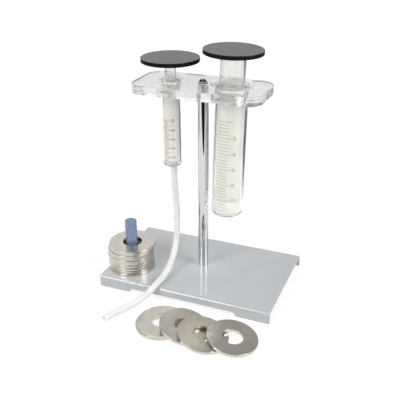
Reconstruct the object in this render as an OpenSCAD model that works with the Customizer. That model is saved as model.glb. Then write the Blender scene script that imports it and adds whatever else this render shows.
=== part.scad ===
// Pascal's law apparatus: two glass syringes of different bore hang by their flanges from a
// clear plate on a chrome rod. Each plunger carries a round platform for ring weights. A post
// on the sheet metal base stores the weights, a few more lie in front of it, and a soft tube
// runs from the small syringe's nozzle over the base to the table.

/* [Base] */
// Length of the base along its front edge
base_l = 190; // [170:1:230]
// Depth of the base from front to back
base_w = 121; // [105:1:150]
// Height of the base's top face above the table
base_h = 13; // [12:0.5:20]
// Thickness of the sheet metal
base_t = 2; // [1:0.1:3]
// Outer radius of the two long bends
bend_r = 3.5; // [3.2:0.1:6]
// Length of the foot that is left at each end of a flange
foot_l = 35; // [20:1:60]
// Height of the cut between the feet
relief_h = 4.5; // [2:0.1:7]
// Length of the slope at each end of that cut
relief_run = 3; // [0.5:0.1:8]

/* [Rod] */
// Diameter of the upright rod
rod_d = 11; // [8:0.1:14]
// Height of the rod from the base to the plate
rod_h = 195.5; // [170:0.5:260]
// Distance of the rod behind the middle of the base
rod_back = 2.5; // [-10:0.5:10]

/* [Top plate] */
// Length of the clear plate
plate_l = 134.5; // [120:0.5:180]
// Distance of the plate's middle to the left of the rod
plate_left = 0.9; // [0:0.1:4]
// Depth of the clear plate
plate_w = 62; // [50:1:90]
// Thickness of the clear plate
plate_t = 9; // [6:0.5:14]
// Radius of the plate's corners
plate_corner = 15; // [4:0.5:24]

/* [Small syringe] */
// Distance of its axis to the left of the rod
small_left = 34.5; // [30:0.5:45]
// Outer diameter of the barrel
small_od = 19; // [17.5:0.1:21]
// Bore of the barrel
small_bore = 16.1; // [13:0.1:17]
// Length of the barrel below its flange
small_barrel_l = 90; // [75:0.5:110]
// Thickness of the barrel's floor
small_floor = 2; // [1.5:0.1:4]
// Radius of the barrel's lower edge
small_edge = 2.5; // [1:0.1:4]
// Diameter of the barrel's flange
small_flange_d = 25.4; // [24:0.1:32]
// Thickness of the barrel's flange
small_flange_t = 2.5; // [2:0.1:4]
// Distance of the nozzle from the barrel's axis
small_tip_shift = 1.5; // [0:0.1:3]
// Length of the plunger above the plate when it is pushed right in
small_reach = 16.5; // [12:0.5:40]
// Length of the plunger's ground part
small_ground_l = 75; // [60:0.5:85]
// Diameter of the plunger's neck
small_neck_d = 11.6; // [8:0.1:12.5]
// Wall of the plunger
small_wall = 1.2; // [0.8:0.1:2]
// Height of the plunger above the barrel's floor, as it stands
small_raise = 2.5; // [1:0.5:30]

/* [Large syringe] */
// Distance of its axis to the right of the rod
large_right = 30; // [28:0.5:45]
// Lean of the syringe in its loose hole, in degrees
large_lean = 1.5; // [0:0.1:3]
// Outer diameter of the barrel
large_od = 32.5; // [30:0.1:35]
// Bore of the barrel
large_bore = 27.8; // [26.2:0.1:29]
// Length of the barrel below its flange
large_barrel_l = 135.5; // [110:0.5:155]
// Thickness of the barrel's floor
large_floor = 3; // [2:0.1:5]
// Radius of the barrel's lower edge
large_edge = 4.5; // [2:0.1:6]
// Diameter of the barrel's flange
large_flange_d = 42.7; // [40.5:0.1:52]
// Thickness of the barrel's flange
large_flange_t = 4; // [2:0.1:6]
// Distance of the nozzle from the barrel's axis
large_tip_shift = 4.6; // [0:0.1:8]
// Length of the plunger above the plate when it is pushed right in
large_reach = 18; // [14:0.5:45]
// Length of the plunger's ground part
large_ground_l = 106; // [90:0.5:125]
// Diameter of the plunger's neck
large_neck_d = 25.4; // [18:0.1:26]
// Wall of the plunger
large_wall = 1.6; // [1:0.1:2.5]
// Height of the plunger above the barrel's floor, as it stands
large_raise = 13.5; // [1:0.5:40]

/* [Nozzles] */
// Diameter of a nozzle where it leaves the barrel
tip_d = 4.2; // [3.6:0.1:4.4]
// Diameter of a nozzle at its end
tip_end_d = 3.6; // [3:0.1:4.2]
// Length of a nozzle
tip_l = 9; // [6:0.5:14]
// Length of its straight part, next to the barrel
tip_straight_l = 4; // [2:0.5:6]
// Bore of a nozzle
tip_bore = 2; // [1:0.1:2.4]

/* [Platforms] */
// Diameter of a platform
platform_d = 58.6; // [52:0.1:62]
// Thickness of a platform
platform_t = 4; // [3:0.1:6]

/* [Ring weights] */
// Outer diameter of a ring weight
ring_od = 50; // [44:0.5:54]
// Hole of a ring weight
ring_hole = 20.5; // [16:0.1:24]
// Thickness of a ring weight
ring_t = 3; // [2:0.1:3.5]
// Number of ring weights on the post
stack_count = 10; // [6:1:14]
// Gap between the base's front edge and the loose rings
loose_gap = 15; // [8:1:40]

/* [Weight post] */
// Diameter of the post
post_d = 12.6; // [10:0.1:14.5]
// Height of the post above the base
post_h = 55; // [50:0.5:90]
// Distance of the post from the base's left end
post_from_end = 22.8; // [22:0.1:34]
// Distance of the post from the base's front edge
post_from_front = 33.5; // [27:0.5:45]

/* [Tube] */
// Outer diameter of the soft tube
tube_d = 6.6; // [6.4:0.1:9]
// Bore of the soft tube
tube_bore = 4.6; // [4.5:0.1:5]

/* [Fasteners] */
// Diameter of the screws
screw_d = 4; // [3:0.5:5]
// Depth of the screws' hold in the rod and the post
screw_hold = 12; // [8:1:20]
// Diameter of the screw heads
head_d = 8; // [7:0.1:10]
// Height of the screw heads
head_h = 3.6; // [3:0.1:5]
// Diameter of the washers
washer_d = 10; // [9:0.1:12]
// Thickness of the washers
washer_t = 1; // [0.6:0.1:1.5]

/* [Clearances] */
// Radial clearance of a ground plunger in its barrel
ground_gap = 0.03; // [0.01:0.01:0.08]
// Radial clearance of a barrel in the plate
barrel_gap = 0.6; // [0.5:0.1:1]
// Radial clearance of a screw in a plain hole
screw_gap = 0.25; // [0.1:0.05:0.4]
// Radial clearance of a screw in a tapped hole
thread_gap = 0.05; // [0.02:0.01:0.1]
// Gap left where one loose ring leans on the next
lean_gap = 0.2; // [0.1:0.05:0.4]

/* [Hidden] */
$fn = 96;
// Reach of a cutting body past the face that it cuts
past = 1;
// Chamfers of the turned pieces
ring_chamfer = 0.4;
platform_chamfer = 0.4;
post_chamfer = 0.6;
// Slope of a plunger's shoulder, as height for each millimetre of radius
shoulder_slope = 1.2;
// Flare of a barrel's mouth, as a share of its wall
flare_share = 0.6;
// Radius of the screw heads' dome, as a share of their diameter
dome_share = 0.62;
// Cross recess of the screw heads
recess_l = 4.4;
recess_w = 0.9;
recess_depth = 1.4;

// Heights above the table
plate_z = base_h + rod_h;
plate_top = plate_z + plate_t;
screw_hole_r = screw_d / 2 + screw_gap;
tapped_r = screw_d / 2 + thread_gap;

// Places in the plane of the table, from the middle of the base
small_x = -small_left;
large_x = large_right;
post_x = -base_l / 2 + post_from_end;
post_y = -base_w / 2 + post_from_front;
// The leaning flange touches the plate with its round rim
large_lift = (large_flange_d - large_flange_t) / 2 * sin(large_lean)
    + large_flange_t / 2 * (1 - cos(large_lean));

// Plungers: length, and place of the closed end under the plate's top
small_plunger_l = small_barrel_l - small_floor + small_reach;
large_plunger_l = large_barrel_l - large_floor + large_reach;
small_foot = -small_barrel_l + small_floor + small_raise;
large_foot = -large_barrel_l + large_floor + large_raise;

// Ring weights on the post: each lies a little to one side, as a share of its play
ring_r = ring_od / 2;
ring_play = (ring_hole - post_d) / 2;
stack_shares = [
    [0.1, -0.4], [-0.05, -0.2], [-0.15, -0.15], [-0.3, 0], [-0.4, 0.1],
    [-0.4, -0.05], [-0.4, 0.1], [-0.25, 0], [-0.05, 0.15], [0.3, -0.1],
];
function stack_shift(i) = ring_play * stack_shares[i % len(stack_shares)];

// Loose ring weights: two lie flat on each other, and each of the next three leans on the
// ring to its left. Their middles are counted from the middle of the base's front edge.
loose_x = [-4.2, -2.2, 22.3, 43, 70.1];
loose_back = [-0.1, 0, -2.8, -7, 0.2];
loose_count = len(loose_x);
function loose_y(i) = -base_w / 2 - loose_gap - ring_r + loose_back[i];

// Leans are found step by step from a first guess in degrees
lean_guess = 8;
lean_steps = 12;
// Lean that puts the underside of ring i on a point x, z
function lean_on_point(i, x, z, a = lean_guess, steps = lean_steps) =
    steps == 0 ? a
    : lean_on_point(i, x, z, asin((z - (loose_x[i] - x) * tan(a)) / ring_r), steps - 1);
// Height of the top face of ring i, at lean a, above the point x
function top_of(i, a, x) = ring_r * sin(a) - (x - loose_x[i]) * tan(a) + ring_t / cos(a);
// Lean that puts the left edge of ring i on the top face of the ring before it
function lean_on_ring(i, before, a = lean_guess, steps = lean_steps) =
    steps == 0 ? a
    : lean_on_ring(i, before,
        asin((top_of(i - 1, before, loose_x[i] - ring_r * cos(a)) + lean_gap) / (2 * ring_r)),
        steps - 1);
// The first leaning ring touches the flat pair's rim beside its own hole
pair_aside = ring_hole / 2 - abs(loose_back[2] - loose_back[1]);
pair_edge_x = loose_x[1] + sqrt(pow(ring_r, 2) - pow(pair_aside, 2));
lean_3 = lean_on_point(2, pair_edge_x, 2 * ring_t + lean_gap);
lean_4 = lean_on_ring(3, lean_3);
lean_5 = lean_on_ring(4, lean_4);
loose_lean = [0, 0, lean_3, lean_4, lean_5];
loose_z = [0, ring_t, for (i = [2 : loose_count - 1]) ring_r * sin(loose_lean[i])];

// Route of the tube from the small nozzle to its free end on the table. Each point starts with
// its distance to the right of the nozzle.
tip_x = small_x + small_tip_shift;
tip_z = plate_top - small_barrel_l;
front_y = -base_w / 2;
tube_r = tube_d / 2;
// On the nozzle and straight below it: the distance below the barrel
sleeve_past = 0.5;
sleeve_run = 8;
on_tip = [0, tip_l + sleeve_past, tip_l + sleeve_past + sleeve_run];
// Hanging: the share of the way to the base's front edge and the share of the drop still to go
hanging = [
    [0.59, 0, 0.756], [1.32, 0.003, 0.674], [2.07, 0.009, 0.593], [2.8, 0.023, 0.512],
    [3.51, 0.047, 0.432], [4.18, 0.084, 0.353], [4.79, 0.138, 0.277], [5.29, 0.213, 0.207],
    [5.68, 0.311, 0.146], [5.94, 0.432, 0.099],
];
// Lying over the base to its front bend: the distance behind its front edge and the height of
// the tube's underside above it
lying = [[6.07, 27.14, 4.32], [5.95, 18, 2.38], [5.36, 8.76, 1.15], [3.89, -0.28, -0.67]];
// In front of the base: the distance from its front edge and the share of its height
falling = [
    [1.13, 8.65, 0.705], [-2.95, 16.31, 0.439], [-7.94, 23.66, 0.216], [-13.16, 31.18, 0.075],
    [-18.06, 39.1, 0.013], [-22.34, 47.4, 0], [-26, 56, 0],
];
table_gap = 0.1;
tube_route = [
    for (below = on_tip) [tip_x, rod_back, tip_z - below],
    for (p = hanging)
        [tip_x + p[0], rod_back + p[1] * (front_y - rod_back), base_h + p[2] * (tip_z - base_h)],
    for (p = lying) [tip_x + p[0], front_y + p[1], base_h + tube_r + p[2]],
    for (p = falling) [tip_x + p[0], front_y - p[1], tube_r + table_gap + p[2] * base_h],
];
tube_sides = 12;
rings_per_step = 2;
// Smooth curve through the route: a point between route points i and i + 1 at share t
function route_at(i) = tube_route[min(max(i, 0), len(tube_route) - 1)];
function curve_at(i, t) =
    let (a = route_at(i - 1), b = route_at(i), c = route_at(i + 1), d = route_at(i + 2))
    b + t / 2 * (c - a) + t * t * (a - 2.5 * b + 2 * c - 0.5 * d)
        + t * t * t * (1.5 * b - 0.5 * a - 1.5 * c + 0.5 * d);
tube_middles = [
    for (i = [0 : len(tube_route) - 2], s = [0 : rings_per_step - 1])
        curve_at(i, s / rings_per_step),
    route_at(len(tube_route) - 1),
];
tube_last = len(tube_middles) - 1;
// Directions along the tube and across it, found with a level one it never points along
level = [-0.6, 0.8, 0];
function unit(v) = v / norm(v);
function tube_ahead(k) =
    unit(tube_middles[min(k + 1, tube_last)] - tube_middles[max(k - 1, 0)]);
function tube_side(k) = unit(cross(tube_ahead(k), level));
function tube_up(k) = cross(tube_side(k), tube_ahead(k));
function tube_point(k, r, j) =
    let (turn = 360 * j / tube_sides)
    tube_middles[k] + r * cos(turn) * tube_side(k) + r * sin(turn) * tube_up(k);

// The origin is the middle of the whole set on the table, without the tube
stack_reach = ring_r - min([for (i = [0 : stack_count - 1]) stack_shift(i)[0]]) - post_x;
loose_reach = loose_x[loose_count - 1] + ring_r * cos(lean_5) + ring_t * sin(lean_5);
front_reach = ring_r - min([for (i = [0 : loose_count - 1]) loose_y(i)]);
set_x = (max(base_l / 2, stack_reach) - max(base_l / 2, loose_reach)) / 2;
set_y = (front_reach - base_w / 2) / 2;

// Frames: the whole set, and the two syringes with their flanges' undersides at zero
module in_set() {
    translate([set_x, set_y, 0]) children();
}

module in_small() {
    in_set() translate([small_x, rod_back, plate_top]) children();
}

module in_large() {
    in_set() translate([large_x, rod_back, plate_top + large_lift])
        rotate([0, large_lean, 0]) children();
}

// Outline of one channel face: straight sides on the table and two round upper corners
module channel_outline(w, h, r) {
    translate([-w / 2, 0]) square([w, h - r]);
    translate([-w / 2 + r, 0]) square([w - 2 * r, h]);
    for (side = [-1, 1]) translate([side * (w / 2 - r), h - r]) circle(r);
}

module base_plate() {
    color("silver") in_set() difference() {
        rotate([90, 0, 90]) linear_extrude(base_l, center = true) difference() {
            channel_outline(base_w, base_h, bend_r);
            translate([0, -past])
                channel_outline(base_w - 2 * base_t, base_h - base_t + past, bend_r - base_t);
        }
        rotate([90, 0, 0]) linear_extrude(base_w + 2 * past, center = true) relief_outline();
        translate([0, rod_back, 0]) cylinder(r = screw_hole_r, h = base_h + past);
        translate([post_x, post_y, 0]) cylinder(r = screw_hole_r, h = base_h + past);
    }
}

// Outline of the cut between the feet of a flange
module relief_outline() {
    half = base_l / 2 - foot_l;
    step = relief_run / relief_h * past;
    polygon([
        [-half - step, -past], [half + step, -past],
        [half - relief_run, relief_h], [-half + relief_run, relief_h],
    ]);
}

module support_rod() {
    color("gainsboro") in_set() translate([0, rod_back, base_h]) difference() {
        cylinder(d = rod_d, h = rod_h);
        translate([0, 0, -past]) cylinder(r = tapped_r, h = screw_hold + 2 * past);
        translate([0, 0, rod_h - screw_hold - past])
            cylinder(r = tapped_r, h = screw_hold + 2 * past);
    }
}

// Round-cornered outline of the plate
module plate_outline() {
    square([plate_l - 2 * plate_corner, plate_w], center = true);
    square([plate_l, plate_w - 2 * plate_corner], center = true);
    for (x = [-1, 1], y = [-1, 1])
        translate([x * (plate_l / 2 - plate_corner), y * (plate_w / 2 - plate_corner)])
            circle(plate_corner);
}

module top_plate() {
    lean_room = plate_t * sin(large_lean);
    color("azure", 0.4) in_set() translate([0, rod_back, plate_z])
        linear_extrude(plate_t) difference() {
            translate([-plate_left, 0]) plate_outline();
            circle(screw_hole_r);
            translate([small_x, 0]) circle(small_od / 2 + barrel_gap);
            translate([large_x, 0]) circle(large_od / 2 + barrel_gap + lean_room);
        }
}

// Screw with its head's underside at zero and its shank pointing down
module screw(l) {
    dome_r = head_d * dome_share;
    difference() {
        rotate_extrude() intersection() {
            square([head_d / 2, head_h]);
            translate([0, head_h - dome_r]) circle(dome_r);
        }
        for (turn = [0, 90])
            rotate([0, 0, turn]) translate([-recess_l / 2, -recess_w / 2, head_h - recess_depth])
                cube([recess_l, recess_w, recess_depth + past]);
    }
    translate([0, 0, -l]) cylinder(d = screw_d, h = l);
}

module washer() {
    difference() {
        cylinder(d = washer_d, h = washer_t);
        translate([0, 0, -past]) cylinder(r = screw_hole_r, h = washer_t + 2 * past);
    }
}

// Screw and washer that hold an upright from under the base
module base_screw_at(x, y) {
    in_set() translate([x, y, base_h - base_t - washer_t]) mirror([0, 0, 1])
        screw(washer_t + base_t + screw_hold);
}

module base_washer_at(x, y) {
    in_set() translate([x, y, base_h - base_t - washer_t]) washer();
}

module rod_screw() {
    color("dimgray") base_screw_at(0, rod_back);
}

module rod_washer() {
    color("gray") base_washer_at(0, rod_back);
}

module plate_screw() {
    color("dimgray") in_set() translate([0, rod_back, plate_top + washer_t])
        screw(washer_t + plate_t + screw_hold);
}

module plate_washer() {
    color("gray") in_set() translate([0, rod_back, plate_top]) washer();
}

module weight_post() {
    r = post_d / 2;
    color("lightsteelblue") in_set() translate([post_x, post_y, base_h]) difference() {
        rotate_extrude() polygon([
            [0, 0], [r, 0], [r, post_h - post_chamfer], [r - post_chamfer, post_h], [0, post_h],
        ]);
        translate([0, 0, -past]) cylinder(r = tapped_r, h = screw_hold + 2 * past);
    }
}

module post_screw() {
    color("dimgray") base_screw_at(post_x, post_y);
}

module post_washer() {
    color("gray") base_washer_at(post_x, post_y);
}

// Half section of a cup: flat foot with a round edge, from bottom up to top
module cup_outline(r, bottom, top, edge) {
    translate([0, bottom]) square([r - edge, top - bottom]);
    translate([0, bottom + edge]) square([r, top - bottom - edge]);
    translate([r - edge, bottom + edge]) circle(edge);
}

// Barrel of a syringe, hanging from its flange's underside at zero
module barrel(od, bore, l, floor_t, edge, flange_d, flange_t, tip_shift) {
    wall = (od - bore) / 2;
    flare = wall * flare_share;
    inner_edge = max(edge - wall, wall / 2);
    difference() {
        union() {
            rotate_extrude() difference() {
                union() {
                    cup_outline(od / 2, -l, flange_t / 2, edge);
                    square([(flange_d - flange_t) / 2, flange_t]);
                    translate([(flange_d - flange_t) / 2, flange_t / 2]) circle(flange_t / 2);
                }
                cup_outline(bore / 2, -l + floor_t, flange_t + past, inner_edge);
                polygon([
                    [0, flange_t - flare], [bore / 2, flange_t - flare],
                    [bore / 2 + flare + past, flange_t + past], [0, flange_t + past],
                ]);
            }
            translate([tip_shift, 0, -l]) mirror([0, 0, 1]) nozzle(floor_t / 2);
        }
        translate([tip_shift, 0, -l - tip_l - past])
            cylinder(d = tip_bore, h = tip_l + floor_t + 2 * past);
    }
}

// Nozzle that points up from zero, rooted in the floor below it
module nozzle(root) {
    translate([0, 0, -root]) cylinder(d = tip_d, h = tip_straight_l + root);
    translate([0, 0, tip_straight_l])
        cylinder(d1 = tip_d, d2 = tip_end_d, h = tip_l - tip_straight_l);
}

// Hollow plunger that stands on its closed end at zero
module plunger(bore, l, ground_l, neck_d, wall, edge) {
    r = bore / 2 - ground_gap;
    neck_r = neck_d / 2;
    shoulder_h = (r - neck_r) * shoulder_slope;
    rotate_extrude() difference() {
        plunger_outline(r, neck_r, 0, l, ground_l, shoulder_h, edge);
        plunger_outline(r - wall, neck_r - wall, wall, l + past, ground_l, shoulder_h,
            max(edge - wall, wall / 2));
    }
}

module plunger_outline(r, neck_r, bottom, top, ground_l, shoulder_h, edge) {
    cup_outline(r, bottom, ground_l, edge);
    polygon([[0, ground_l], [r, ground_l], [neck_r, ground_l + shoulder_h], [neck_r, top], [0, top]]);
}

module platform() {
    r = platform_d / 2;
    c = platform_chamfer;
    rotate_extrude() polygon([
        [0, 0], [r - c, 0], [r, c], [r, platform_t - c], [r - c, platform_t], [0, platform_t],
    ]);
}

module small_barrel() {
    color("aliceblue", 0.5) in_small()
        barrel(small_od, small_bore, small_barrel_l, small_floor, small_edge, small_flange_d,
            small_flange_t, small_tip_shift);
}

module small_plunger() {
    color("whitesmoke", 0.6) in_small() translate([0, 0, small_foot])
        plunger(small_bore, small_plunger_l, small_ground_l, small_neck_d, small_wall, small_edge);
}

module small_platform() {
    color("#1c1c20") in_small() translate([0, 0, small_foot + small_plunger_l]) platform();
}

module large_barrel() {
    color("aliceblue", 0.5) in_large()
        barrel(large_od, large_bore, large_barrel_l, large_floor, large_edge, large_flange_d,
            large_flange_t, large_tip_shift);
}

module large_plunger() {
    color("whitesmoke", 0.6) in_large() translate([0, 0, large_foot])
        plunger(large_bore, large_plunger_l, large_ground_l, large_neck_d, large_wall, large_edge);
}

module large_platform() {
    color("#1c1c20") in_large() translate([0, 0, large_foot + large_plunger_l]) platform();
}

module ring_weight() {
    c = ring_chamfer;
    inner = ring_hole / 2;
    color("tan") rotate_extrude() polygon([
        [inner + c, 0], [ring_r - c, 0], [ring_r, c], [ring_r, ring_t - c],
        [ring_r - c, ring_t], [inner + c, ring_t], [inner, ring_t - c], [inner, c],
    ]);
}

module stack_ring(i) {
    shift = stack_shift(i - 1);
    in_set() translate([post_x + shift[0], post_y + shift[1], base_h + (i - 1) * ring_t])
        ring_weight();
}

module loose_ring(i) {
    k = i - 1;
    in_set() translate([loose_x[k], loose_y(k), loose_z[k]]) rotate([0, loose_lean[k], 0])
        ring_weight();
}

// One closed skin: outer points ring by ring, then inner points ring by ring
module tube() {
    points = [
        for (r = [tube_r, tube_bore / 2], k = [0 : tube_last], j = [0 : tube_sides - 1])
            tube_point(k, r, j)
    ];
    inner = (tube_last + 1) * tube_sides;
    function at(k, j) = k * tube_sides + j % tube_sides;
    outer_faces = [
        for (k = [0 : tube_last - 1], j = [0 : tube_sides - 1])
            each [[at(k, j), at(k, j + 1), at(k + 1, j)],
                  [at(k, j + 1), at(k + 1, j + 1), at(k + 1, j)]]
    ];
    inner_faces = [for (f = outer_faces) [f[2] + inner, f[1] + inner, f[0] + inner]];
    first_faces = [
        for (j = [0 : tube_sides - 1])
            each [[at(0, j + 1), at(0, j), inner + at(0, j)],
                  [at(0, j + 1), inner + at(0, j), inner + at(0, j + 1)]]
    ];
    last_faces = [
        for (j = [0 : tube_sides - 1])
            each [[at(tube_last, j), at(tube_last, j + 1), inner + at(tube_last, j)],
                  [at(tube_last, j + 1), inner + at(tube_last, j + 1), inner + at(tube_last, j)]]
    ];
    color("honeydew", 0.7) in_set()
        polyhedron(points, concat(outer_faces, inner_faces, first_faces, last_faces));
}

base_plate();
support_rod();
rod_screw();
rod_washer();
top_plate();
plate_screw();
plate_washer();
weight_post();
post_screw();
post_washer();
small_barrel();
small_plunger();
small_platform();
large_barrel();
large_plunger();
large_platform();
tube();
for (i = [1 : stack_count])
    stack_ring(i);
for (i = [1 : loose_count])
    loose_ring(i);
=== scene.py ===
import math

import bmesh
import bpy
import numpy as np
from mathutils import Matrix, Vector, geometry


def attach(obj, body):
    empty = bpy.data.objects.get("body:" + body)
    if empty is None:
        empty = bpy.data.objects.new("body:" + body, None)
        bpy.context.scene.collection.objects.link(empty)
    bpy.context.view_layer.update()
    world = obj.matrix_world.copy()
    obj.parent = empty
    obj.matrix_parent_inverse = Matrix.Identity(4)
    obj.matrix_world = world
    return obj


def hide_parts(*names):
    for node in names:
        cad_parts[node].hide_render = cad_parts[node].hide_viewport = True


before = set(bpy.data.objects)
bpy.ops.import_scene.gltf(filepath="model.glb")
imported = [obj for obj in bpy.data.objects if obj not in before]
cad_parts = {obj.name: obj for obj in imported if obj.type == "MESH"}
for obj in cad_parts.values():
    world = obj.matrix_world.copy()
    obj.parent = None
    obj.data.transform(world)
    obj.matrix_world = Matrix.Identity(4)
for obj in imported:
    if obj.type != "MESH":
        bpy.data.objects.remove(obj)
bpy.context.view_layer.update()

# Sizes in millimetres, as in the part's source; meshes are made in metres

MM = 0.001
TURN = 2 * math.pi
# Middle of the base
SET_X, SET_Y = 1.759956, 36.0
BASE_L, BASE_W, BASE_H, SHEET = 190.0, 121.0, 13.0, 2.0
BEND_R, FOOT_L, RELIEF_H, RELIEF_RUN = 3.5, 35.0, 4.5, 3.0
ROD_D, PLATE_Z, PLATE_T = 11.0, 208.5, 9.0
PLATE_TOP = PLATE_Z + PLATE_T
PLATE_HALF_L, PLATE_HALF_W, PLATE_CORNER_R, PLATE_ASIDE = 67.25, 31.0, 15.0, -0.9
ROD_AT = (SET_X, SET_Y + 2.5)
# Distance of each syringe's axis to the right of the rod, and the plate's hole for it
SMALL_ASIDE, SMALL_HOLE_R = -34.5, 10.1
LARGE_ASIDE, LARGE_HOLE_R = 30.0, 17.086
SCREW_HOLE_R, WASHER_R, WASHER_T = 2.25, 5.0, 1.0
POST_AT = (SET_X - 72.2, SET_Y - 27.0)
POST_R, POST_H, POST_CHAMFER = 6.3, 55.0, 0.7
RING_OUTER, RING_INNER, RING_T, RING_EDGE = 25.0, 10.25, 3.0, 0.35
PLATFORM_R, PLATFORM_T, PLATFORM_EDGE = 29.3, 4.0, 0.45
TUBE_R, TUBE_BORE_R = 3.3, 2.3
# Running gap round a plunger, and the gap that keeps glass off the face it rests on
GROUND_GAP = 0.03
SEAT_GAP = 0.06

# Directions of the photograph's view, level with the table
TO_CAMERA = (0.377, -0.926, 0.0)
TO_RIGHT = (0.926, 0.377, 0.0)

# Surfaces


def rounded(corners, closed=False, steps=6, hold=0.1):
    """Profile line through corners (across, up, fillet): a corner becomes the arc of its fillet
    radius that touches both sides. A point a short hold past each end of the arc keeps the
    straight spans straight in shading."""
    corners = np.asarray(corners, float)
    points, count = [], len(corners)
    for k, (x, y, fillet) in enumerate(corners):
        here = np.array([x, y])
        if fillet == 0 or (not closed and k in (0, count - 1)):
            points.append(here[None])
            continue
        back = corners[k - 1, :2] - here
        ahead = corners[(k + 1) % count, :2] - here
        back, ahead = back / np.linalg.norm(back), ahead / np.linalg.norm(ahead)
        half = math.acos(np.clip(back @ ahead, -1, 1)) / 2
        reach = fillet / math.tan(half)
        middle = here + (back + ahead) / np.linalg.norm(back + ahead) * fillet / math.sin(half)
        first = here + back * reach - middle
        across = here + ahead * reach - middle
        sweep = math.pi - 2 * half
        side = (across - first * math.cos(sweep)) / math.sin(sweep)
        turn = np.linspace(0, sweep, steps + 1)[:, None]
        arc = middle + np.cos(turn) * first + np.sin(turn) * side
        points.append(np.vstack([here + back * (reach + hold), arc, here + ahead * (reach + hold)]))
    return np.vstack(points)


def spun(profile, turns=128):
    """Turned surface: each profile point (radius, height) goes once round the upright axis."""
    angle = np.arange(turns) * TURN / turns
    radius, height = profile[:, :1], profile[:, 1:]
    return np.stack([radius * np.cos(angle), radius * np.sin(angle), height + 0 * angle], axis=-1)


def grid_faces(rows, columns, close_rows=False):
    """Four-sided faces between neighbours of a grid whose columns go all the way round; with
    close_rows its rows do too."""
    index = np.arange(rows * columns).reshape(rows, columns)
    if close_rows:
        index = np.vstack([index, index[:1]])
    index = np.hstack([index, index[:, :1]])
    corners = [index[:-1, :-1], index[:-1, 1:], index[1:, 1:], index[1:, :-1]]
    return np.stack(corners, axis=-1).reshape(-1, 4)


def at(points, origin, lean=0.0):
    """Points of a piece's own frame in the row frame: leaned about the front-to-back direction,
    then shifted."""
    cos, sin = math.cos(lean), math.sin(lean)
    turn = np.array([[cos, 0, sin], [0, 1, 0], [-sin, 0, cos]])
    return points.reshape(-1, 3) @ turn.T + np.asarray(origin)


def in_scene(name, data):
    """New object of the scene that shows the data."""
    made = bpy.data.objects.new(name, data)
    bpy.context.scene.collection.objects.link(made)
    return made


def piece(name, points, faces, materials, body, stands_for=(), bands=None, crisp=35.0):
    """Object at the origin from points in millimetres; bands gives a material number per face.
    Coinciding points are joined, faces point outwards, and edges sharper than crisp degrees stay
    sharp in shading."""
    mesh = bpy.data.meshes.new(name)
    mesh.from_pydata((np.asarray(points) * MM).tolist(), [], [list(f) for f in faces])
    for material in materials:
        mesh.materials.append(material)
    if bands is not None:
        mesh.polygons.foreach_set("material_index", np.asarray(bands, np.int32))
    work = bmesh.new()
    work.from_mesh(mesh)
    bmesh.ops.remove_doubles(work, verts=work.verts, dist=1e-7)
    bmesh.ops.recalc_face_normals(work, faces=work.faces)
    work.to_mesh(mesh)
    work.free()
    mesh.shade_smooth()
    mesh.set_sharp_from_angle(angle=math.radians(crisp))
    made = in_scene(name, mesh)
    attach(made, body)
    if stands_for:
        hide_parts(*stands_for)
    return made


def turned(name, profile, origin, materials, body, stands_for=(), lean=0.0,
           closed=False, turns=128, bands=None):
    """Turned piece on an upright or leaning axis; bands gives a material number per profile span."""
    grid = spun(profile, turns)
    faces = grid_faces(len(profile), turns, close_rows=closed)
    if bands is not None:
        bands = np.repeat(bands, turns)
    piece(name, at(grid, origin, lean), faces, materials, body, stands_for, bands)


# Materials

RANGE_SOCKETS = ("From Min", "From Max", "To Min", "To Max")


class Nodes:
    """Helpers for a node tree: each adds one node and gives its result."""

    def __init__(self, tree):
        self.tree = tree

    def link(self, out, into):
        self.tree.links.new(out, into)

    def between(self, out, low, high, start=0.35, end=0.65, smooth=False):
        """Number that runs from low to high as out runs from start to end."""
        node = self.tree.nodes.new("ShaderNodeMapRange")
        if smooth:
            node.interpolation_type = "SMOOTHSTEP"
        for socket, value in zip(RANGE_SOCKETS, (start, end, low, high)):
            node.inputs[socket].default_value = value
        self.link(out, node.inputs["Value"])
        return node.outputs["Result"]

    def calculate(self, operation, first, second, clamp=False):
        """Result of a sum or product of two numbers, held from 0 to 1 with clamp."""
        node = self.tree.nodes.new("ShaderNodeMath")
        node.operation, node.use_clamp = operation, clamp
        self.link(first, node.inputs[0])
        self.link(second, node.inputs[1])
        return node.outputs[0]


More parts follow.
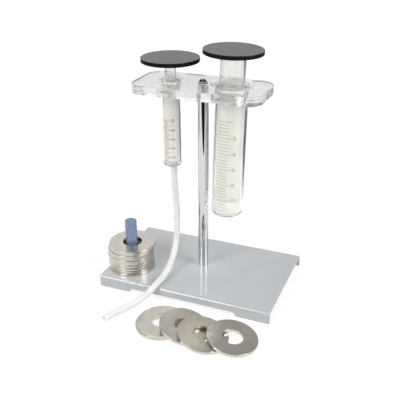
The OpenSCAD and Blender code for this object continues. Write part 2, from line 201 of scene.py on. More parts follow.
class Finish(Nodes):
    """Principled material with helpers for patterns on Object coordinates."""

    def __init__(self, name, **values):
        self.material = bpy.data.materials.new(name)
        self.material.use_nodes = True
        super().__init__(self.material.node_tree)
        self.shader = self.tree.nodes["Principled BSDF"]
        for socket, value in values.items():
            self.shader.inputs[socket.replace("_", " ")].default_value = value
        self.coordinates = self.tree.nodes.new("ShaderNodeTexCoord").outputs["Object"]

    def noise(self, scale, detail=2.0, stretch=(1, 1, 1)):
        """Noise with scale cells a metre, drawn out along the axes by stretch."""
        mapping = self.tree.nodes.new("ShaderNodeMapping")
        mapping.inputs["Scale"].default_value = stretch
        self.link(self.coordinates, mapping.inputs["Vector"])
        node = self.tree.nodes.new("ShaderNodeTexNoise")
        node.inputs["Scale"].default_value = scale
        node.inputs["Detail"].default_value = detail
        self.link(mapping.outputs["Vector"], node.inputs["Vector"])
        return node.outputs["Fac"]

    def blend(self, fac, first, second):
        """Colour between two colours."""
        node = self.tree.nodes.new("ShaderNodeMix")
        node.data_type = "RGBA"
        node.inputs["A"].default_value = (*first, 1)
        node.inputs["B"].default_value = (*second, 1)
        self.link(fac, node.inputs["Factor"])
        return node.outputs["Result"]

    def set(self, socket, out):
        """Feeds one of the shader's sockets."""
        self.link(out, self.shader.inputs[socket])

    def let_through(self, colour, share):
        """Gives a share of the surface to light that passes through and scatters."""
        through = self.tree.nodes.new("ShaderNodeBsdfTranslucent")
        self.link(colour, through.inputs["Color"])
        both = self.tree.nodes.new("ShaderNodeMixShader")
        both.inputs["Fac"].default_value = share
        self.link(self.shader.outputs["BSDF"], both.inputs[1])
        self.link(through.outputs["BSDF"], both.inputs[2])
        self.link(both.outputs["Shader"], self.tree.nodes["Material Output"].inputs["Surface"])

    def bump(self, fac, strength, distance):
        """Raises the shaded surface by fac times a distance in metres."""
        node = self.tree.nodes.new("ShaderNodeBump")
        node.inputs["Strength"].default_value = strength
        node.inputs["Distance"].default_value = distance
        self.link(fac, node.inputs["Height"])
        self.link(node.outputs["Normal"], self.shader.inputs["Normal"])


def clear(name, colour, through, bending, noise, rough):
    """Clear glass or acrylic: through is its share of transmission, bending its index, and its
    roughness runs from none to rough over the noise (cells a metre, detail)."""
    f = Finish(name, Base_Color=(*colour, 1), Transmission_Weight=through, IOR=bending)
    f.set("Roughness", f.between(f.noise(*noise), 0.0, rough))
    return f.material


def drifting(name, first, second, cloud, rough, grain, span=(0.35, 0.65), through=0.0, **values):
    """Finish whose colour runs from first to second over the span of the cloud noise, and whose
    roughness runs between its two values over the grain noise. Light passes through and scatters
    over a share of it."""
    f = Finish(name, **values)
    shade = f.blend(f.between(f.noise(*cloud), 0, 1, *span), first, second)
    f.set("Base Color", shade)
    f.set("Roughness", f.between(f.noise(*grain), *rough))
    if through:
        f.let_through(shade, through)
    return f


def grey_paint():
    """Satin paint with a faint orange peel."""
    f = drifting("grey_paint", (0.488, 0.509, 0.525), (0.517, 0.538, 0.554), (30, 3), (0.34, 0.46), (2600, 1),
                 Metallic=0.15, Specular_IOR_Level=0.5, Coat_Weight=0.8, Coat_Roughness=0.12)
    f.bump(f.noise(950, 2), 0.06, 0.0004)
    return f.material


def rod_chrome():
    """Bright chrome with fine marks along the rod."""
    f = Finish("rod_chrome", Base_Color=(0.66, 0.665, 0.675, 1), Metallic=1.0)
    f.set("Roughness", f.between(f.noise(90, 4), 0.015, 0.05))
    f.bump(f.noise(1400, 1, (1, 1, 0.03)), 0.02, 0.0002)
    return f.material


def print_ink(name, thin, thick):
    """Printed ink that covers unevenly."""
    cover = (2400, 2)
    return drifting(name, thin, thick, cover, (0.45, 0.6), cover, Specular_IOR_Level=0.3).material


STREAK = (900, 2, (1, 1, 0.04))

GREY_PAINT = grey_paint()
ROD_CHROME = rod_chrome()
# Faces of the plate: a grey tint, darker than the rim's and the holes', as painted shade.
PAINTED_SHADE_ACRYLIC = clear("clear_acrylic", (0.80, 0.803, 0.803), 0.9, 1.49, (160, 3), 0.03)
ACRYLIC_RIM = clear("acrylic_rim", (0.985, 0.987, 0.987), 0.92, 1.49, (420, 3), 0.03)
ACRYLIC_HOLE = clear("acrylic_hole", (0.985, 0.987, 0.987), 0.97, 1.49, (420, 3), 0.03)
BARREL_GLASS = clear("barrel_glass", (0.988, 0.988, 0.978), 1.0, 1.48, (120, 3), 0.02)
# Plunger necks: a grey tint darker than the rest of the plunger glass, as painted shade.
PAINTED_SHADE_NECK_GLASS = clear("neck_glass_painted_shade", (0.90, 0.903, 0.89), 0.97, 1.40, (150, 3), 0.03)
GROUND_GLASS = drifting(
    "ground_glass", (0.965, 0.96, 0.93), (0.985, 0.98, 0.95), (260, 3), (0.30, 0.42), (3000, 2),
    through=0.35, Transmission_Weight=0.1, IOR=1.48, Specular_IOR_Level=0.2).material
FLANGE_GLASS = clear("flange_glass", (0.99, 0.99, 0.97), 0.97, 1.12, (150, 3), 0.04)
BORE_GLASS = clear("bore_glass", (0.985, 0.982, 0.965), 0.95, 1.48, (900, 2), 0.06)
HAZY_GLASS = clear("hazy_glass", (0.88, 0.878, 0.855), 0.72, 1.48, (900, 2), 0.06)
BLACK_ACRYLIC = drifting(
    "black_acrylic", (0.010, 0.010, 0.012), (0.05, 0.05, 0.05), (1500, 2), (0.05, 0.13), (60, 4),
    span=(0.66, 0.76), IOR=1.49).material
# Edge and underside of the black discs: a darker black that barely reflects, as painted shade.
PAINTED_SHADE_BLACK_RIM = drifting(
    "black_rim_painted_shade", (0.006, 0.005, 0.008), (0.010, 0.009, 0.013), (900, 2), (0.12, 0.22), (200, 3),
    IOR=1.49, Specular_IOR_Level=0.06).material
RING_NICKEL = drifting(
    "ring_nickel", (0.595, 0.56, 0.50), (0.64, 0.61, 0.55), (70, 4), (0.21, 0.26), (160, 2),
    Metallic=1.0).material
BLUE_STEEL = drifting(
    "blue_steel", (0.20, 0.265, 0.395), (0.235, 0.30, 0.435), STREAK, (0.42, 0.52), STREAK,
    Metallic=0.35).material
SILICONE = drifting(
    "silicone", (0.94, 0.95, 0.935), (0.98, 0.985, 0.975), (140, 2), (0.30, 0.42), (500, 2),
    through=0.4, IOR=1.41).material
FASTENER_STEEL = drifting(
    "fastener_steel", (0.36, 0.36, 0.37), (0.50, 0.50, 0.50), (350, 3), (0.06, 0.12), (900, 2),
    Metallic=1.0).material
GLUE = drifting(
    "glue", (0.55, 0.36, 0.30), (0.72, 0.56, 0.48), (400, 2), (0.15, 0.3), (900, 2),
    Transmission_Weight=0.6, IOR=1.5).material
BROWN_LINES = print_ink("brown_lines", (0.53, 0.33, 0.21), (0.46, 0.27, 0.16))
BROWN_NUMBERS = print_ink("brown_numbers", (0.17, 0.11, 0.05), (0.13, 0.08, 0.04))
OLIVE_LINES = print_ink("olive_lines", (0.54, 0.53, 0.22), (0.48, 0.47, 0.17))
OLIVE_NUMBERS = print_ink("olive_numbers", (0.42, 0.37, 0.05), (0.36, 0.31, 0.03))

# Camera at the photograph's place


def make_camera():
    """Camera whose place, turn and lens are fitted to the photograph."""
    right = (0.92695, 0.37517, -0.00419)
    up = (-0.15909, 0.40314, 0.9012)
    back = (0.33979, -0.8347, 0.43338)
    data = bpy.data.cameras.new("camera")
    data.sensor_width = 36.0
    data.lens = 58.236
    data.clip_start, data.clip_end = 0.01, 50.0
    place = Matrix((right, up, back)).transposed().to_4x4()
    place.translation = (0.230975, -0.5338, 0.388)
    camera = in_scene("camera", data)
    camera.matrix_world = place
    bpy.context.scene.camera = camera


make_camera()

# Soft tube from the small nozzle over the base to the table

TIP_AT = (SET_X - 33.0, ROD_AT[1], PLATE_TOP - 90.0)
# Each point starts with its distance to the right of the nozzle. Hanging: then the share of the
# way to the base's front edge, and the share of the drop that is still to go.
HANGING = np.array([
    (0.59, 0, 0.756), (1.32, 0.003, 0.674), (2.07, 0.009, 0.593), (2.8, 0.023, 0.512),
    (3.51, 0.047, 0.432), (4.18, 0.084, 0.353), (4.79, 0.138, 0.277), (5.29, 0.213, 0.207),
    (5.68, 0.311, 0.146), (5.94, 0.432, 0.099),
])
# Lying on the base: the distance behind its front edge and the height over its top
LYING = np.array([(6.07, 27.14, 4.32), (5.95, 18, 2.38), (5.36, 8.76, 1.15), (3.89, -0.28, -0.67)])
# In front of the base: the distance from its front edge and the share of its height
FALLING = np.array([
    (1.13, 8.65, 0.705), (-2.95, 16.31, 0.439), (-7.94, 23.66, 0.216), (-13.16, 31.18, 0.075),
    (-18.06, 39.1, 0.013), (-22.34, 47.4, 0), (-26, 56, 0),
])


def tube_route():
    """Points along the middle of the tube, in metres: down from the nozzle, over the base's front
    edge and to the free end on the table."""
    x, y, z = TIP_AT
    front, over_table = SET_Y - BASE_W / 2, 0.1
    on_tip = np.array([(x, y, z - below) for below in (0, 9.5, 17.5)])
    right, share, drop = HANGING.T
    hanging = np.stack([x + right, y + share * (front - y), BASE_H + drop * (z - BASE_H)], -1)
    right, behind, over = LYING.T
    lying = np.stack([x + right, front + behind, BASE_H + TUBE_R + over], -1)
    right, ahead, share = FALLING.T
    falling = np.stack([x + right, front - ahead, TUBE_R + over_table + share * BASE_H], -1)
    return np.vstack([on_tip, hanging, lying, falling]) * MM


TUBE_ROUTE = tube_route()


def smooth_route(route, steps=8):
    """Cubic curve through the route: between two points, each weighed with both its neighbours."""
    ends = np.vstack([route[:1], route, route[-1:]])
    a, b, c, d = (ends[k:len(ends) - 3 + k, None] for k in range(4))
    t = np.linspace(0, 1, steps, endpoint=False)[None, :, None]
    curve = (b + t / 2 * (c - a) + t ** 2 * (a - 2.5 * b + 2 * c - 0.5 * d)
             + t ** 3 * (1.5 * b - 0.5 * a - 1.5 * c + 0.5 * d))
    return np.vstack([curve.reshape(-1, 3), route[-1:]])


def make_tube():
    """Hollow tube: a round section that goes out along the wall and back through the bore,
    carried along the route, so both cut ends are closed rings."""
    sides, edge = 32, 0.15
    never_along = (-0.6, 0.8, 0.0)
    path = smooth_route(TUBE_ROUTE)
    middle = path / MM
    ahead = np.gradient(middle, axis=0)
    ahead /= np.linalg.norm(ahead, axis=1)[:, None]
    side = np.cross(ahead, never_along)
    side /= np.linalg.norm(side, axis=1)[:, None]
    up = np.cross(side, ahead)
    angle = np.arange(sides) * TURN / sides
    round_way = np.cos(angle)[:, None] * side[:, None] + np.sin(angle)[:, None] * up[:, None]
    outer_wall = middle[:, None] + TUBE_R * round_way
    inner_wall = (middle[:, None] + TUBE_BORE_R * round_way)[::-1]
    rims = middle[[0, -1], None] + (TUBE_R - edge) * round_way[[0, -1]]
    outer_wall[0] += edge * ahead[0]
    outer_wall[-1] -= edge * ahead[-1]
    grid = np.vstack([rims[:1], outer_wall, rims[1:], inner_wall])
    tube = piece("soft_tube", grid.reshape(-1, 3), grid_faces(len(grid), sides, close_rows=True),
                 [SILICONE], "frame", ["tube"])


make_tube()

# Base of folded sheet metal


def make_base():
    """Folded channel: across, a section runs up the front flange, round both bends over the top
    and down the back flange, and returns inside one sheet thickness deeper. Along, the lower
    edges follow the feet and the cut between them."""
    half, notch = BASE_L / 2, BASE_L / 2 - FOOT_L
    edge = rounded([
        (-half, 0, 0), (-notch, 0, 1.0), (-notch + RELIEF_RUN, RELIEF_H, 2.0),
        (notch - RELIEF_RUN, RELIEF_H, 2.0), (notch, 0, 1.0), (half, 0, 0),
    ], steps=5)
    # More sections along the cut, in the feet and just inside the ends
    extra = np.linspace(-50, 50, 21)
    along = np.sort(np.concatenate([edge[:, 0], extra, (-half + 0.4, half - 0.4, -78, 78)]))
    foot = np.interp(along, edge[:, 0], edge[:, 1])

    def section(inset):
        """Section line at a depth inside the sheet: share of the flange, distance across, height.
        Its points on the top lie closer together towards the bends."""
        radius, wide, high = BEND_R - inset, BASE_W / 2 - inset, BASE_H - inset
        turn = np.linspace(math.pi, math.pi / 2, 9)
        flange = np.linspace(0, 1, 6)[:-1]
        flat = np.linspace(-1, 1, 25)
        flat = np.sign(flat) * np.abs(flat) ** 0.8 * (wide - radius - 0.3)
        half_line = np.concatenate([
            np.stack([flange, 0 * flange - wide, 0 * flange + high - radius], -1),
            np.stack([0 * turn + 1, -wide + radius + radius * np.cos(turn),
                      high - radius + radius * np.sin(turn)], -1),
        ])
        other = half_line[::-1] * (1, -1, 1)
        return np.concatenate([half_line, np.stack([0 * flat + 1, flat, 0 * flat + high], -1), other])

    outside, inside = section(0.0), section(SHEET)
    ring = np.concatenate([outside, inside[::-1]])
    share, across, high = ring.T
    height = foot[:, None] + share * (high - foot[:, None])
    grid = np.stack([along[:, None] + 0 * share, across + 0 * height, height], -1)
    columns, span = len(ring), len(outside)
    faces = grid_faces(len(along), columns)
    v = np.arange(span - 1)
    caps = np.stack([v, v + 1, columns - 2 - v, columns - 1 - v], -1)
    faces = np.vstack([faces, caps, caps + (len(along) - 1) * columns])
    sharp = 50.0
    base = piece("base_channel", at(grid, (SET_X, SET_Y, 0)), faces, [GREY_PAINT], "frame",
                 ["base_plate"], crisp=sharp)
    bevel = base.modifiers.new("edge", "BEVEL")
    bevel.width, bevel.segments, bevel.limit_method = 0.25 * MM, 2, "ANGLE"
    bevel.angle_limit = math.radians(sharp)
    bevel.harden_normals = True


make_base()

# Rod, post and their visible fasteners


def make_uprights():
    """Rod, weight post with a chamfered top, and the washer on the plate, all turned."""
    rod_r, rod_top = ROD_D / 2, PLATE_Z - SEAT_GAP
    rod = rounded([(0, BASE_H, 0), (rod_r, BASE_H, 0.3), (rod_r, rod_top, 0.3), (0, rod_top, 0)])
    turned("upright_rod", rod, (*ROD_AT, 0), [ROD_CHROME], "frame", ["support_rod"])
    post_top = BASE_H + POST_H
    post = rounded([(0, BASE_H, 0), (POST_R, BASE_H, 0.2), (POST_R, post_top - POST_CHAMFER, 0.3),
                    (POST_R - POST_CHAMFER, post_top, 0.3), (0, post_top, 0)])
    turned("weight_post_pin", post, (*POST_AT, 0), [BLUE_STEEL], "frame", ["weight_post"])
    washer = rounded([(SCREW_HOLE_R, 0, 0.1), (WASHER_R, 0, 0.2), (WASHER_R, WASHER_T, 0.25),
                      (SCREW_HOLE_R, WASHER_T, 0.1)], closed=True)
    turned("top_washer", washer, (*ROD_AT, PLATE_TOP + SEAT_GAP), [FASTENER_STEEL], "frame",
           ["plate_washer"], closed=True)


def make_top_screw():
    """Pan head as heights over a disc: a dome, less a cross-shaped recess with sloping walls."""
    head_r, head_h, dome_r = 4.0, 3.6, 4.96
    shank_r, shank_l = 2.0, 22.0
    arm_reach, arm_half, recess, slope = 2.3, 0.55, 1.5, 0.24
    rings, turns = 56, 144
    radius = head_r * np.linspace(0, 1, rings)[:, None]
    angle = np.arange(turns) * TURN / turns
    x, y = radius * np.cos(angle), radius * np.sin(angle)
    dome = np.sqrt(np.maximum(dome_r ** 2 - radius ** 2, 0)) - dome_r + head_h + 0 * angle
    arm = np.minimum(np.maximum(np.abs(x) / arm_reach, np.abs(y) / arm_half),
                     np.maximum(np.abs(y) / arm_reach, np.abs(x) / arm_half))
    depth = recess * np.clip((1 + slope / 2 - arm) / slope, 0, 1)
    crown = np.stack([x, y, dome - depth], -1)
    skirt = spun(rounded([(head_r, dome[-1, 0], 0), (head_r, 0, 0.2), (shank_r, 0, 0.1),
                          (shank_r, -shank_l, 0.3), (0, -shank_l, 0)]), turns)
    grid = np.concatenate([crown, skirt[1:]])
    piece("top_screw", at(grid, (*ROD_AT, PLATE_TOP + WASHER_T)), grid_faces(len(grid), turns),
          [FASTENER_STEEL], "frame", ["plate_screw"])


def dress_hidden_fasteners():
    """Fasteners under the base keep their solids."""
    for node in ("rod_screw", "rod_washer", "post_screw", "post_washer"):
        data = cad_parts[node].data
        data.materials.clear()
        data.materials.append(FASTENER_STEEL)


make_uprights()
make_top_screw()
dress_hidden_fasteners()

# Clear plate


def make_plate():
    """Plate: every outline, the round-cornered rim and the three holes, is carried up as a wall
    with a small chamfer at each face, and triangles between the outlines fill both faces. The
    faces, the rim and the holes each have their own acrylic; the grey tint of the faces, darker
    than that of the rim and the holes, is painted shade."""
    chamfer, corner_points, hole_points = 0.35, 24, 96
    levels = [(chamfer, 0), (0, chamfer), (0, PLATE_T - chamfer), (chamfer, PLATE_T)]
    holes = ((0.0, SCREW_HOLE_R), (SMALL_ASIDE, SMALL_HOLE_R), (LARGE_ASIDE, LARGE_HOLE_R))
    turn = np.linspace(0, math.pi / 2, corner_points)
    quarter = np.stack([np.cos(turn), np.sin(turn)], -1)
    turns = [np.array([[math.cos(a), math.sin(a)], [-math.sin(a), math.cos(a)]])
             for a in np.arange(4) * math.pi / 2]
    reach = (PLATE_HALF_L - PLATE_CORNER_R, PLATE_HALF_W - PLATE_CORNER_R)
    middles = np.array([(1, 1), (-1, 1), (-1, -1), (1, -1)]) * reach + (PLATE_ASIDE, 0)

    def rim(inset):
        """Outer outline: a quarter circle about the middle of each corner, inset towards it."""
        return np.vstack([m + (PLATE_CORNER_R - inset) * quarter @ t for m, t in zip(middles, turns)])

    def hole(x, radius, inset):
        """Circle about a hole's axis, inset away from it."""
        angle = -np.arange(hole_points) * TURN / hole_points
        return np.stack([x + (radius + inset) * np.cos(angle), (radius + inset) * np.sin(angle)], -1)

    outlines = [rim] + [lambda inset, x=x, r=r: hole(x, r, inset) for x, r in holes]
    points, walls, flat, edges, start = [], [], [], [], 0
    for outline in outlines:
        rows = [np.column_stack([outline(inset), np.full(len(outline(inset)), z)]) for inset, z in levels]
        n = len(rows[0])
        points.append(np.vstack(rows))
        walls.append(grid_faces(len(levels), n) + start)
        ring = np.arange(n)
        edges.append(np.stack([ring, (ring + 1) % n], -1) + sum(len(f) for f in flat))
        top_row = start + (len(levels) - 1) * n
        flat.append(np.column_stack([rows[0][:, :2], start + ring, top_row + ring]))
        start += len(levels) * n
    flat = np.vstack(flat)
    filled = geometry.delaunay_2d_cdt([tuple(p) for p in flat[:, :2]], np.vstack(edges).tolist(), [], 2, 1e-6)
    triangles = np.array([f for f in filled[2] if len(f) == 3])
    low, high = flat[:, 2].astype(int), flat[:, 3].astype(int)
    faces = [f for wall in walls for f in wall] + list(low[triangles]) + list(high[triangles])
    bands = np.full(len(faces), 2)
    bands[:len(walls[0])] = 1
    bands[-2 * len(triangles):] = 0
    piece("clear_plate", at(np.vstack(points), (*ROD_AT, PLATE_Z)), faces,
          [PAINTED_SHADE_ACRYLIC, ACRYLIC_RIM, ACRYLIC_HOLE], "frame", ["top_plate"],
          bands=bands, crisp=30.0)


make_plate()

# Syringes, with heights along the axis from the plate's top


def barrel_profile(od, bore, long, floor, edge, flange_d, flange_t, hazy_up):
    """Half section of a barrel from the middle of its foot, up the outside, round the flange and
    down the bore to the middle of its floor. Also gives the material number of each span: 0 on
    the outside, 1 in the bore, 2 on the flange and the top of the barrel in the plate, and 3
    where the bore is hazy, from its floor to the height hazy_up."""
    r, b, plate_end = od / 2, bore / 2, -12.0
    wall, flange_r = r - b, flange_d / 2
    lip = (flange_t - SEAT_GAP) / 2 * 0.97
    flare = wall * 0.6
    hazy_top = -long + floor + hazy_up
    line = rounded([
        (0, -long, 0), (r, -long, edge), (r, plate_end, 0), (r, SEAT_GAP, 0.5), (flange_r, SEAT_GAP, lip),
        (flange_r, flange_t, lip), (b + flare, flange_t, 0.4), (b, flange_t - flare, 0.5),
        (b, plate_end, 0), (b, hazy_top, 0), (b, -long + floor, max(edge - wall, wall / 2)),
        (0, -long + floor, 0),
    ], steps=8)
    middle = (line[1:, 1] + line[:-1, 1]) / 2
    inside = (np.arange(len(middle)) > np.argmax(line[:, 1])) & (middle < plate_end)
    hazy = inside & (middle < hazy_top)
    return line, np.where(hazy, 3, np.where(inside, 1, np.where(middle > plate_end, 2, 0)))


def plunger_profile(bore, foot, long, ground, neck_d, wall, edge):
    """Half section of a hollow plunger: from the middle of its foot up the ground outside, over the
    shoulder and the neck, and down the inside. Also gives the material number of each span: 1 on
    the ground outside and the foot's underside, 2 on the inside behind them, and 0 above."""
    r, n = bore / 2 - GROUND_GAP, neck_d / 2
    shoulder = foot + ground
    rise = (r - n) * 1.2
    soft = min(1.5, rise * 0.45)
    milky_top = shoulder - 1.0 - soft
    line = rounded([
        (0, foot, 0), (r, foot, edge), (r, milky_top, 0), (r, shoulder, soft), (n, shoulder + rise, soft),
        (n, foot + long, 0), (n - wall, foot + long, 0), (n - wall, shoulder + rise, soft),
        (r - wall, shoulder, soft), (r - wall, foot + wall, max(edge - wall, wall / 2)),
        (0, foot + wall, 0),
    ], steps=8)
    sole = (np.arange(len(line) - 1) < len(line) // 2) & (line[:-1, 1] < foot + edge)
    outside = ((line[:-1, 0] > r - 0.01) & (line[1:, 1] < milky_top + 0.01)) | sole
    behind = ~outside & (line[:-1, 1] < milky_top)
    return line, np.where(outside, 1, np.where(behind, 2, 0))


def nozzle_profile():
    """Half section of a nozzle that points down from zero: a flared root, a straight part, a
    taper, and the channel back up."""
    channel, root_r, shaft_r, tip_r = 1.0, 4.2, 2.1, 1.8
    return rounded([
        (channel, -SEAT_GAP, 0), (root_r, -SEAT_GAP, 0), (shaft_r, -1.2, 1.6), (shaft_r, -4, 1.0),
        (tip_r, -9, 0.25), (channel, -9, 0.15),
    ], closed=True)


def scale_lines(name, radius, heights, start, ends, origin, lean, material, width):
    """Printed lines: each is a flat bar bent round the barrel at its height, from the common start
    angle to its own end angle."""
    lift, thick, steps = 0.015, 0.03, 25
    share = np.linspace(0, 1, steps)
    angle = (start + share * (ends[:, None] - start))[..., None]
    out = radius + lift + np.array([0, 0, thick, thick])
    up = width / 2 * np.array([-1, 1, 1, -1]) + heights[:, None, None]
    points = np.stack([out * np.cos(angle), out * np.sin(angle), up + 0 * angle], -1)
    caps = np.arange(4) + np.array([[0], [4 * (steps - 1)]])
    one = np.vstack([grid_faces(steps, 4), caps])
    faces = (one[None] + (np.arange(len(heights)) * steps * 4)[:, None, None]).reshape(-1, 4)
    piece(name, at(points, origin, lean), faces, [material], "frame", crisp=30.0)


def scale_numbers(name, radius, texts, heights, middle, tall, origin, lean, material):
    """Printed numbers that read upwards: each letter shape is turned a quarter, so that its width
    runs up the barrel and its height is bent round it."""
    lift, half_thick, size_share = 0.03, 0.015, 1.4
    points, faces, start = [], [], 0
    for text, height in zip(texts, heights):
        letters = bpy.data.curves.new("letters", "FONT")
        letters.body, letters.align_x, letters.align_y = text, "CENTER", "CENTER"
        letters.size, letters.extrude, letters.resolution_u = tall * size_share, half_thick, 4
        holder = bpy.data.objects.new("letters", letters)
        mesh = bpy.data.meshes.new_from_object(holder)
        flat = np.zeros(len(mesh.vertices) * 3)
        mesh.vertices.foreach_get("co", flat)
        x, y, z = flat.reshape(-1, 3).T
        angle = middle - y / radius
        out = radius + lift + z
        points.append(np.stack([out * np.cos(angle), out * np.sin(angle), height + x], -1))
        faces += [[start + i for i in f.vertices] for f in mesh.polygons]
        start += len(mesh.vertices)
        bpy.data.objects.remove(holder)
        bpy.data.curves.remove(letters)
        bpy.data.meshes.remove(mesh)
    piece(name, at(np.vstack(points), origin, lean), faces, [material], "frame", crisp=20.0)


def make_scale(size, radius, origin, lean, facing, first, ends, beside, marks, labels, zero, unit,
               width, tall, inks):
    """Printed scale of one barrel. Angles are in degrees from the direction it faces: all lines
    start at first, and a line ends where the coarsest step that its mark belongs to says."""
    line_ink, number_ink = inks

    def angle(turn):
        """Angle round the barrel in radians."""
        return math.radians(facing + turn)

    reach = np.zeros(len(marks))
    for step, end in ends:
        reach[marks % step == 0] = angle(end)
    scale_lines(f"{size}_scale_lines", radius, zero + unit * marks, angle(first), reach, origin, lean,
                line_ink, width)
    scale_numbers(f"{size}_scale_numbers", radius, [str(n) for n in labels], zero + unit * labels,
                  angle(beside), tall, origin, lean, number_ink)


def make_platform(name, origin, lean, body, node):
    """Disc for the weights: polished on top; its edge and underside are duller, and also darker and barely
    reflecting as painted shade.
    """
    edge = rounded([(0, 0, 0), (PLATFORM_R, 0, PLATFORM_EDGE), (PLATFORM_R, PLATFORM_T, PLATFORM_EDGE),
                    (0, PLATFORM_T, 0)])
    painted_shade_band = edge[:-1, 1] < PLATFORM_T - 0.25
    turned(name, edge, origin, [BLACK_ACRYLIC, PAINTED_SHADE_BLACK_RIM], body, [node], lean, turns=192,
           bands=painted_shade_band.astype(int))


def make_glue(name, neck_r, up, origin, lean, body):
    """Bead in the corner between a plunger's neck and its disc: a hollow quarter round."""
    size, gap = 1.1, 0.02
    turn = np.linspace(0, math.pi / 2, 7)
    hollow = np.stack([neck_r + gap + size * (1 - np.sin(turn)), up - gap - size * (1 - np.cos(turn))], -1)
    corner = np.array([[neck_r + gap, up - gap]])
    turned(name, np.vstack([hollow, corner]), origin, [GLUE], body, lean=lean, closed=True)


def make_syringe(size, aside, lean, nozzle_aside, barrel, plunger, scale):
    """Syringe that hangs by its flange: the barrel with its nozzle, the plunger with its disc and
    glue bead, and the scale. A leaning one stands on the low side of its flange's round edge,
    which lifts its axis."""
    lip = barrel["flange_t"] / 2
    lift = (barrel["flange_d"] / 2 - lip) * math.sin(lean) + lip * (1 - math.cos(lean))
    origin = (SET_X + aside, ROD_AT[1], PLATE_TOP + lift)
    piston = f"{size}_piston"
    line, bands = barrel_profile(**barrel)
    turned(f"{size}_barrel_tube", line, origin, [BARREL_GLASS, BORE_GLASS, FLANGE_GLASS, HAZY_GLASS],
           "frame", [f"{size}_barrel"], lean, bands=bands)
    tip = at(np.array([nozzle_aside, 0, -barrel["long"]]), origin, lean)[0]
    turned(f"{size}_nozzle", nozzle_profile(), tip, [BARREL_GLASS], "frame", lean=lean,
           closed=True)
    line, bands = plunger_profile(barrel["bore"], **plunger)
    turned(f"{size}_plunger_tube", line, origin, [PAINTED_SHADE_NECK_GLASS, GROUND_GLASS, BARREL_GLASS], piston,
           [f"{size}_plunger"], lean, bands=bands)
    disc_up = plunger["foot"] + plunger["long"]
    disc = at(np.array([0, 0, disc_up]), origin, lean)[0]
    make_platform(f"{size}_disc", disc, lean, piston, f"{size}_platform")
    make_glue(f"{size}_glue", plunger["neck_d"] / 2, disc_up, origin, lean, piston)
    make_scale(size, barrel["od"] / 2, origin, lean, **scale)


make_syringe(
    "small", SMALL_ASIDE, lean=0.0, nozzle_aside=1.5,
    barrel=dict(od=19, bore=16.1, long=90, floor=2, edge=2.5, flange_d=25.4, flange_t=2.5, hazy_up=3.0),
    plunger=dict(foot=-85.5, long=104.5, ground=75, neck_d=11.6, wall=1.2, edge=2.5),
    scale=dict(facing=-65.3, first=-65, ends=((0.5, -23), (1, -17), (2, -3)), beside=9.5,
               marks=np.arange(1, 21) * 0.5, labels=np.arange(2, 11, 2), zero=-88.7, unit=4.89,
               width=0.58, tall=3.1, inks=(BROWN_LINES, BROWN_NUMBERS)),
)
make_syringe(
    "large", LARGE_ASIDE, lean=math.radians(1.5), nozzle_aside=4.6,
    barrel=dict(od=32.5, bore=27.8, long=135.5, floor=3, edge=4.5, flange_d=42.7, flange_t=4, hazy_up=13.0),
    plunger=dict(foot=-119, long=150.5, ground=106, neck_d=25.4, wall=1.6, edge=4.5),
    scale=dict(facing=-70.8, first=-48, ends=((2, -6.5), (10, 8.4)), beside=17.5,
               marks=np.arange(1, 31) * 2, labels=np.arange(10, 51, 10), zero=-131.8, unit=1.675,
               width=0.55, tall=3.2, inks=(OLIVE_LINES, OLIVE_NUMBERS)),
)

# Ring weights

# Shift of each stacked ring from the post's axis, from the lowest up
STACK_SHIFTS = (
    (0.395, -1.58), (-0.1975, -0.79), (-0.5925, -0.5925), (-1.185, 0), (-1.58, 0.395),
    (-1.58, -0.1975), (-1.58, 0.395), (-0.9875, 0), (-0.1975, 0.5925), (1.185, -0.395),
)
# Middle of each loose ring's underside from the middle of the base, and its lean in degrees
LOOSE_RINGS = (
    (-4.2, -100.6, 0, 0), (-2.2, -100.5, 3, 0), (22.3, -103.3, 6.04164, 13.98487),
    (43, -107.5, 5.1357, 11.85455), (70.1, -100.3, 3.94723, 9.08439),
)


def make_rings():
    """Flat rings with soft edges, turned; each is a body of its own."""
    corners = ((RING_INNER, 0), (RING_OUTER, 0), (RING_OUTER, RING_T), (RING_INNER, RING_T))
    outline = rounded([(*corner, RING_EDGE) for corner in corners], closed=True)

    def ring(name, place, lean):
        """Ring for the node and body of that name."""
        turned(name.replace("ring", "weight"), outline, place, [RING_NICKEL], name, [name],
               lean, closed=True)

    for k, (x, y) in enumerate(STACK_SHIFTS):
        ring(f"stack_ring_{k + 1}", (POST_AT[0] + x, POST_AT[1] + y, BASE_H + k * RING_T), 0.0)
    for k, (x, y, z, lean) in enumerate(LOOSE_RINGS):
        ring(f"loose_ring_{k + 1}", (SET_X + x, SET_Y + y, z), math.radians(lean))


make_rings()

# Floor, light and surroundings


def dull(name, **values):
    """Dull stage finish that can also shine white."""
    return Finish(name, Roughness=0.9, Specular_IOR_Level=0.0, Emission_Color=(1, 1, 1, 1), **values)


def light_path(nodes):
    """What the tree can tell about the ray that meets it."""
    return nodes.tree.nodes.new("ShaderNodeLightPath").outputs


def flat_object(name, corners, material):
    """Four-cornered flat object of the stage."""
    mesh = bpy.data.meshes.new(name)
    mesh.from_pydata(corners, [], [(0, 1, 2, 3)])
    mesh.materials.append(material)
    return in_scene(name, mesh)


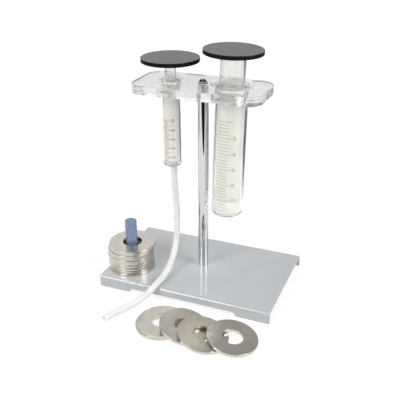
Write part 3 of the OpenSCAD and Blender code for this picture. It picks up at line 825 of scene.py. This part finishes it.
def make_floor():
    """Wide pale floor whose camera, glossy and transmitted views are lifted to white, a little more
    far from the object; it keeps the shadow of the object."""
    wide = 6.0
    f = dull("floor")
    path = light_path(f)
    f.set("Base Color", f.blend(path["Is Diffuse Ray"], (0.2, 0.2, 0.2), (0.6, 0.6, 0.6)))
    mirrored = f.calculate("ADD", path["Is Glossy Ray"], path["Is Transmission Ray"], clamp=True)
    seen = f.calculate("ADD", path["Is Camera Ray"], mirrored, clamp=True)
    away = f.tree.nodes.new("ShaderNodeVectorMath")
    away.operation = "LENGTH"
    f.link(f.coordinates, away.inputs[0])
    paler = f.between(away.outputs["Value"], 0.84, 0.93, 0.25, 0.9)
    f.set("Emission Strength", f.calculate("MULTIPLY", seen, paler))
    corners = [(-wide, -wide, 0), (wide, -wide, 0), (wide, wide, 0), (-wide, wide, 0)]
    floor = flat_object("floor", corners, f.material)


def make_world():
    """White for the camera and an even fill for diffuse light. Reflections see a pale room: a wall
    behind, brighter on the left, a dimmer ceiling and a dim front. Views through glass are nearly
    white. Light that milky glass gathers through the clear glass round it is stronger, because
    clear glass keeps the lamps off it."""
    fill, beyond_glass, into_glass = 0.45, 0.82, 2.6
    world = bpy.data.worlds.new("studio")
    bpy.context.scene.world = world
    world.use_nodes = True
    nodes = Nodes(world.node_tree)
    background = nodes.tree.nodes["Background"]
    background.inputs["Color"].default_value = (1, 1, 1, 1)
    coordinates = nodes.tree.nodes.new("ShaderNodeTexCoord")
    path = light_path(nodes)

    def toward(way):
        """How far a ray's direction agrees with a way, from -1 to 1."""
        node = nodes.tree.nodes.new("ShaderNodeVectorMath")
        node.operation = "DOT_PRODUCT"
        node.inputs[1].default_value = way
        nodes.link(coordinates.outputs["Generated"], node.inputs[0])
        return node.outputs["Value"]

    def step(out, start, end, low, high):
        """Soft step from low to high as out runs from start to end."""
        return nodes.between(out, low, high, start, end, smooth=True)

    def times(first, second):
        return nodes.calculate("MULTIPLY", first, second)

    def instead(ray, kept, value):
        """The value for that kind of ray, and what is kept for the others."""
        node = nodes.tree.nodes.new("ShaderNodeMix")
        node.data_type = "FLOAT"
        node.inputs["B"].default_value = value
        nodes.link(path[ray], node.inputs["Factor"])
        nodes.link(kept, node.inputs["A"])
        return node.outputs["Result"]

    up = toward((0, 0, 1))
    right = toward(TO_RIGHT)
    wall = step(up, 0.15, 0.5, 0.68, 0.95)
    ceiling = step(up, 0.65, 0.95, 1.0, 0.35)
    sideways = step(right, -0.5, 0.5, 1.08, 0.9)
    front = step(toward(TO_CAMERA), -0.1, 0.6, 1.0, 0.3)
    corner = times(step(right, -0.1, 0.25, 0.0, 1.0), step(up, 0.42, 0.62, 0.0, 1.0))
    dimmer = step(corner, 0.0, 1.0, 1.0, 0.5)
    room = times(times(times(wall, ceiling), times(sideways, front)), dimmer)
    through_glass = instead("Diffuse Depth", instead("Is Transmission Ray", room, beyond_glass), into_glass)
    shown = instead("Is Camera Ray", instead("Is Diffuse Ray", through_glass, fill), 1.0)
    nodes.link(shown, background.inputs["Strength"])


def view_spot(ahead, aside, height):
    """Place in metres from the rod's foot: towards the camera, to its right, and up."""
    foot = np.array([ROD_AT[0] * MM, ROD_AT[1] * MM, height])
    return foot + ahead * np.array(TO_CAMERA) + aside * np.array(TO_RIGHT)


def make_card(name, corners, shade, through_glass):
    """Flat card that only reflections and, with through_glass, views through glass see; light that
    milky glass gathers through the clear glass round it finds it white."""
    f = dull(name, Base_Color=(shade, shade, shade, 1))
    f.set("Emission Strength", light_path(f)["Diffuse Depth"])
    f.material.cycles.emission_sampling = "NONE"
    card = flat_object(name, corners, f.material)
    card.visible_camera = False
    card.visible_diffuse = False
    card.visible_shadow = False
    card.visible_transmission = through_glass


def make_cards():
    """Cards just over the floor, squared to the photograph's line of sight through the rod: a black
    one that widens towards the camera, grey ones on the right and the left, and a dark one behind."""
    over_floor = 0.001

    def card(name, near, far, shade, through_glass=True):
        """Card from its near and its far edge, each as distance ahead, left end and right end."""
        (near_ahead, near_left, near_right), (far_ahead, far_left, far_right) = near, far
        spots = ((near_ahead, near_left), (near_ahead, near_right),
                 (far_ahead, far_right), (far_ahead, far_left))
        corners = [tuple(view_spot(ahead, aside, over_floor)) for ahead, aside in spots]
        make_card(name, corners, shade, through_glass)

    card("front_card", (0.36, 0.03, 0.15), (0.85, -1.25, 0.85), 0.01, through_glass=False)
    card("right_card", (0.2, 0.36, 1.8), (-1.6, 0.36, 1.8), 0.25)
    card("left_card", (0.2, -1.8, -0.45), (-1.6, -1.8, -0.45), 0.65)
    card("back_card", (-0.18, 0.10, 0.45), (-0.55, 0.16, 0.6), 0.05)


def make_soft_box(name, turn, rise, size, power):
    """Square lamp at a turn to the right of the camera's direction and a rise, aimed at the stand."""
    reach, aim_height = 1.3, 0.08
    turn, rise = math.radians(turn), math.radians(rise)
    flat = reach * math.cos(rise)
    place = view_spot(flat * math.cos(turn), flat * math.sin(turn), reach * math.sin(rise))
    data = bpy.data.lights.new(name, "AREA")
    data.shape, data.size, data.energy = "SQUARE", size, power
    light = in_scene(name, data)
    light.location = place
    light.rotation_euler = Vector(view_spot(0, 0, aim_height) - place).to_track_quat("-Z", "Y").to_euler()


make_floor()
make_world()
make_cards()
make_soft_box("right_soft_box", turn=62, rise=38, size=0.6, power=8.2)
make_soft_box("left_soft_box", turn=-49, rise=38, size=0.5, power=7.0)

# Light crosses many glass walls
scene = bpy.context.scene
scene.view_settings.view_transform = "Standard"
scene.cycles.max_bounces = 32
scene.cycles.transmission_bounces = 32
scene.cycles.transparent_max_bounces = 32
scene.cycles.glossy_bounces = 12
